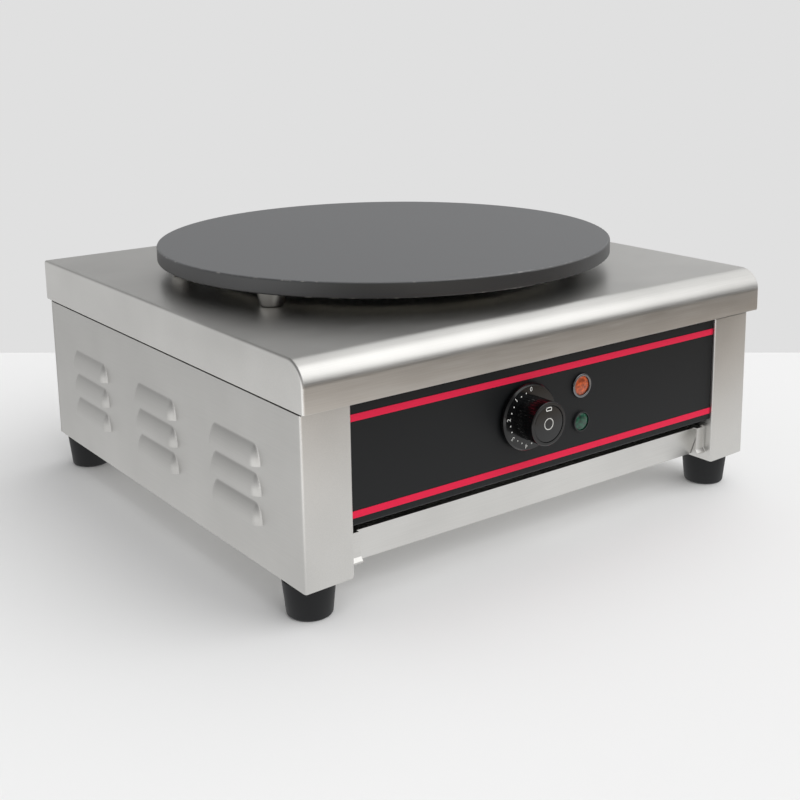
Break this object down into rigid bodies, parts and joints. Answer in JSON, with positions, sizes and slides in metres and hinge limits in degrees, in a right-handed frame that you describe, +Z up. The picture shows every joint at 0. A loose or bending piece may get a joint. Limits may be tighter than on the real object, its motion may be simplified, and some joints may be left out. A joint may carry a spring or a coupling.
{
  "type": "crepe maker",
  "caption": "Electric crepe maker: a round cast-iron griddle on spacers over a folded steel housing with side louvres, a thermostat knob, pilot lamps and rubber feet.",
  "frame": {"origin": "on the floor, under the centre of the griddle and of the whole box", "axes": "+X to the user's right, +Y to the back, +Z up; the user stands at -Y"},
  "size_m": [0.468, 0.491, 0.2215],
  "materials": {
    "bezel_chrome": "polished",
    "white_moulding": "moulded",
    "lens_amber": "gloss",
    "black_moulding": "moulded",
    "stainless": "fine brushed",
    "zinc_steel": "zinc plated",
    "panel_black": "satin",
    "knob_black": "satin",
    "rubber_black": "moulded",
    "lens_green": "gloss",
    "cast_iron_griddle": "seasoned",
    "element_sheath": "heat-tinted",
    "mineral_fibre": "felted",
    "knob_cap_grey": "satin",
    "red_tape": "gloss",
    "turned_steel": "turned",
    "brass": "turned"
  },
  "bodies": {
    "housing": {"amber_lamp_bezel": "bezel_chrome", "amber_lamp_body": "white_moulding", "amber_lamp_lens": "lens_amber", "amber_lamp_nut": "black_moulding", "base_pan": "stainless", "clamp_bolts": "zinc_steel", "control_panel": "panel_black", "cross_rail_front": "zinc_steel", "cross_rail_rear": "zinc_steel", "element_clamp_disc": "zinc_steel", "foot_front_left": "rubber_black", "foot_front_right": "rubber_black", "foot_nuts": "zinc_steel", "foot_rear_left": "rubber_black", "foot_rear_right": "rubber_black", "foot_screws": "zinc_steel", "foot_washers": "zinc_steel", "gland_body": "black_moulding", "gland_dome_nut": "black_moulding", "gland_locknut": "black_moulding", "gland_seal": "rubber_black", "green_lamp_bezel": "black_moulding", "green_lamp_body": "white_moulding", "green_lamp_lens": "lens_green", "green_lamp_nut": "black_moulding", "griddle_bolts": "zinc_steel", "griddle_plate": "cast_iron_griddle", "heat_shield": "zinc_steel", "heating_element": "element_sheath", "insulation_disc": "mineral_fibre", "left_apron_clip": "stainless", "left_side_panel": "stainless", "lower_stripe": "red_tape", "rear_panel": "stainless", "rear_panel_screws": "zinc_steel", "right_apron_clip": "stainless", "right_side_panel": "stainless", "spacer_front_left": "turned_steel", "spacer_front_right": "turned_steel", "spacer_rear_left": "turned_steel", "spacer_rear_right": "turned_steel", "terminal_block": "white_moulding", "terminal_screws": "brass", "thermostat_body": "black_moulding", "thermostat_screws": "zinc_steel", "top_cover": "stainless", "upper_stripe": "red_tape"},
    "knob": {"dial_skirt": "knob_black", "knob_grip": "knob_black", "knob_cap": "knob_cap_grey", "thermostat_shaft": "zinc_steel"}
  },
  "joints": [
    {"name": "thermostat_turn", "type": "hinge", "parent": "housing", "child": "knob", "pos_m": [-0.026, -0.2225, 0.114], "axis": [0, 1, 0], "range_deg": [0, 270]}
  ]
}
